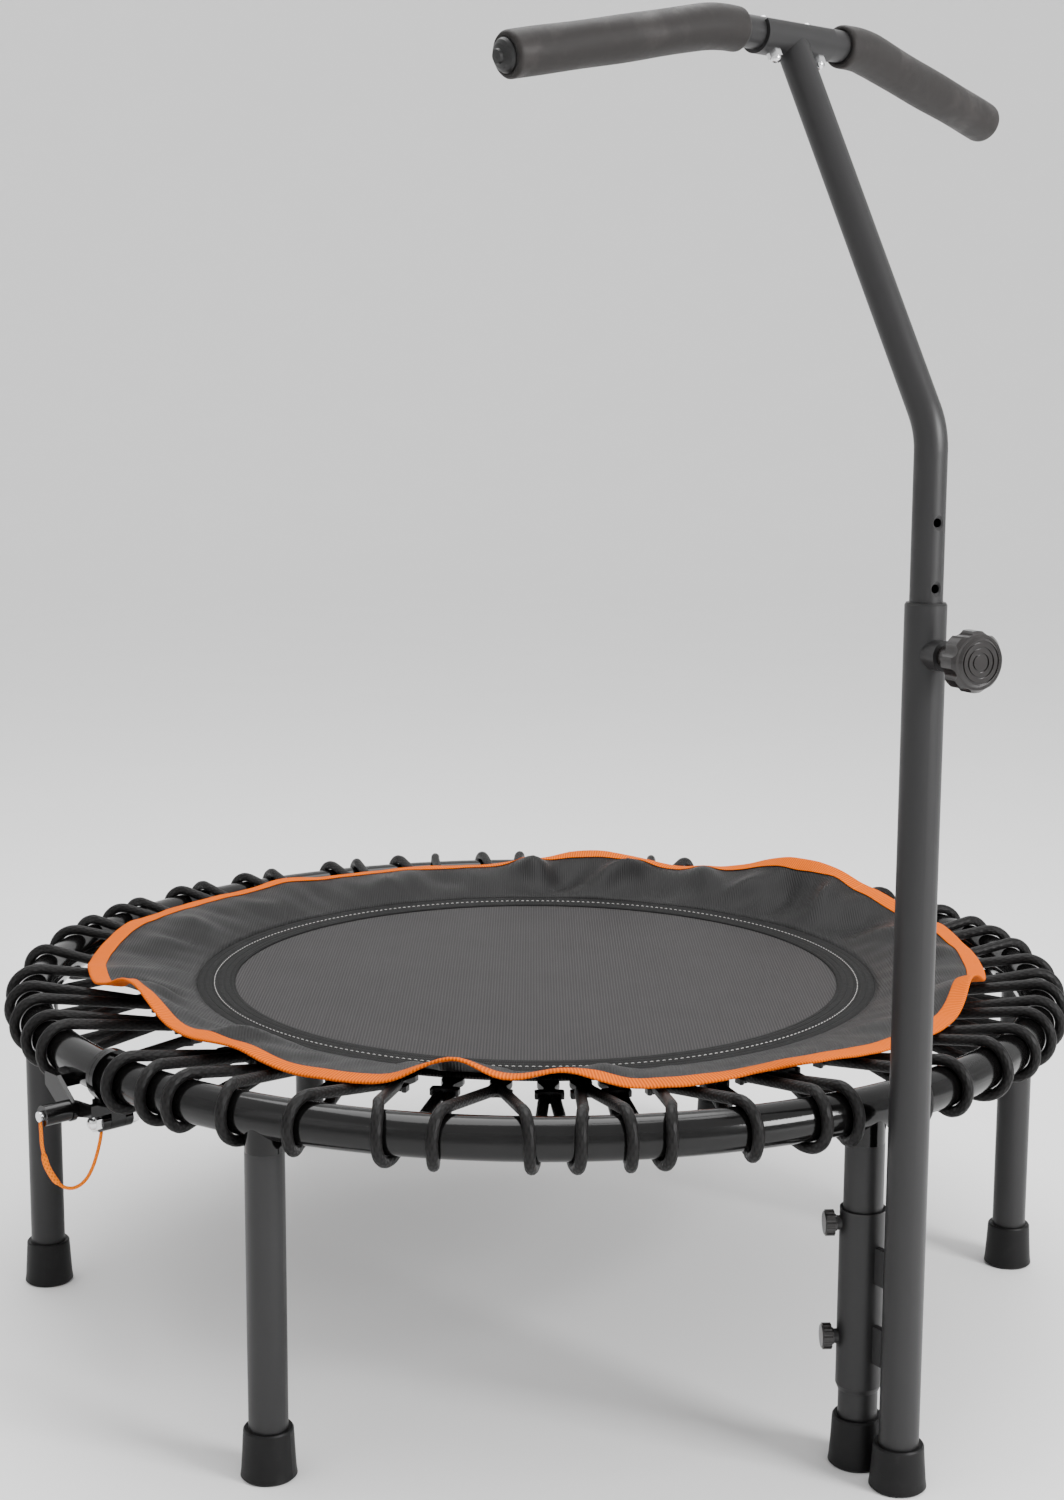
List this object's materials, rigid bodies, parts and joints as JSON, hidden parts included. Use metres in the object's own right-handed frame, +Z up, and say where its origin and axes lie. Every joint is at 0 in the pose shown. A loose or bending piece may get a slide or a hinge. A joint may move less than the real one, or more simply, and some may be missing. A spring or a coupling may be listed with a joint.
{
  "type": "mini trampoline",
  "caption": "Round folding fitness trampoline on screw-in legs, with elastic-cord suspension, a loose orange-edged skirt and a height-adjustable T-bar handle.",
  "frame": {"origin": "on the floor, at the middle of the footprint", "axes": "+Z up; the handle stands on the -Y side; the frame folds about a line 9 degrees from X, through the middle of the round frame"},
  "size_m": [1.0956, 1.136, 1.1841],
  "materials": {
    "frame_gloss": "gloss black powder coat",
    "leg_satin": "satin charcoal powder coat",
    "foot_rubber": "satin moulded rubber",
    "mat_weave": "tight woven polypropylene",
    "band_webbing": "black webbing with pale stitching",
    "skirt_mesh": "coated mesh cloth",
    "binding_tape": "ribbed orange binding tape",
    "elastic_cord": "braided black elastic cord",
    "hook_plastic": "satin moulded plastic",
    "bush_plastic": "satin moulded plastic",
    "knob_plastic": "glossy moulded plastic",
    "foam_grip": "soft closed-cell foam",
    "bright_steel": "bright plated steel",
    "lanyard_cord": "orange braided cord"
  },
  "bodies": {
    "front_frame": {"front_half_ring": "frame_gloss", "front_hinge_flanges": "frame_gloss", "front_leg_sockets": "frame_gloss", "front_leg_studs": "bright_steel", "left_front_leg": "leg_satin", "handle_leg": "leg_satin", "right_front_leg": "leg_satin", "front_feet": "foot_rubber", "front_mat": "mat_weave", "front_mat_band": "band_webbing", "front_skirt": "skirt_mesh", "front_binding": "binding_tape", "front_bungees": "elastic_cord", "front_mat_hooks": "hook_plastic", "post_sleeve": "leg_satin", "post_webs": "leg_satin", "post_tube": "leg_satin", "post_foot": "foot_rubber", "post_bush": "bush_plastic", "knob_boss": "leg_satin", "screw_bosses": "leg_satin"},
    "back_frame": {"back_half_ring": "frame_gloss", "back_hinge_flanges": "frame_gloss", "back_leg_sockets": "frame_gloss", "back_leg_studs": "bright_steel", "left_back_leg": "leg_satin", "rear_leg": "leg_satin", "right_back_leg": "leg_satin", "back_feet": "foot_rubber", "back_mat": "mat_weave", "back_mat_band": "band_webbing", "back_skirt": "skirt_mesh", "back_binding": "binding_tape", "back_bungees": "elastic_cord", "back_mat_hooks": "hook_plastic", "hinge_bolts": "bright_steel", "hinge_nuts": "bright_steel", "lock_brackets": "frame_gloss", "lock_barrels": "frame_gloss", "lock_springs": "bright_steel"},
    "handle": {"stem_tube": "leg_satin", "stem_glide": "bush_plastic", "handle_saddle": "leg_satin", "handlebar": "leg_satin", "left_grip": "foam_grip", "right_grip": "foam_grip", "left_end_plug": "bush_plastic", "right_end_plug": "bush_plastic", "saddle_bolts": "bright_steel", "saddle_nuts": "bright_steel"},
    "height_knob": {"height_knob": "knob_plastic", "height_screw": "bright_steel"},
    "upper_sleeve_knob": {"upper_sleeve_knob": "knob_plastic"},
    "lower_sleeve_knob": {"lower_sleeve_knob": "knob_plastic"},
    "left_lock": {"left_lock_pin": "bright_steel", "left_lanyard": "lanyard_cord"},
    "right_lock": {"right_lock_pin": "bright_steel", "right_lanyard": "lanyard_cord"}
  },
  "joints": [
    {"name": "frame_fold", "type": "hinge", "parent": "front_frame", "child": "back_frame", "pos_m": [0.00282, 0.04866, 0.271], "axis": [-0.9877, -0.1564, 0], "range_deg": [0, 90]},
    {"name": "handle_slide", "type": "slide", "parent": "front_frame", "child": "handle", "axis": [0, 0, 1], "range_m": [-0.101, 0.1515]},
    {"name": "height_knob_turn", "type": "hinge", "parent": "front_frame", "child": "height_knob", "pos_m": [-0.00136, -0.52404, 0.69], "axis": [-0.1392, -0.9903, 0], "continuous": true},
    {"name": "upper_sleeve_knob_turn", "type": "hinge", "parent": "front_frame", "child": "upper_sleeve_knob", "pos_m": [0.00282, -0.44334, 0.211], "axis": [-0.866, 0.5, 0], "continuous": true},
    {"name": "lower_sleeve_knob_turn", "type": "hinge", "parent": "front_frame", "child": "lower_sleeve_knob", "pos_m": [0.00282, -0.44334, 0.112], "axis": [-0.866, 0.5, 0], "continuous": true},
    {"name": "left_lock_pull", "type": "slide", "parent": "back_frame", "child": "left_lock", "axis": [-0.9877, -0.1564, 0], "range_m": [0, 0.007], "stiffness_N_per_m": 500, "springref_m": -0.007},
    {"name": "right_lock_pull", "type": "slide", "parent": "back_frame", "child": "right_lock", "axis": [0.9877, 0.1564, 0], "range_m": [0, 0.007], "stiffness_N_per_m": 500, "springref_m": -0.007}
  ]
}
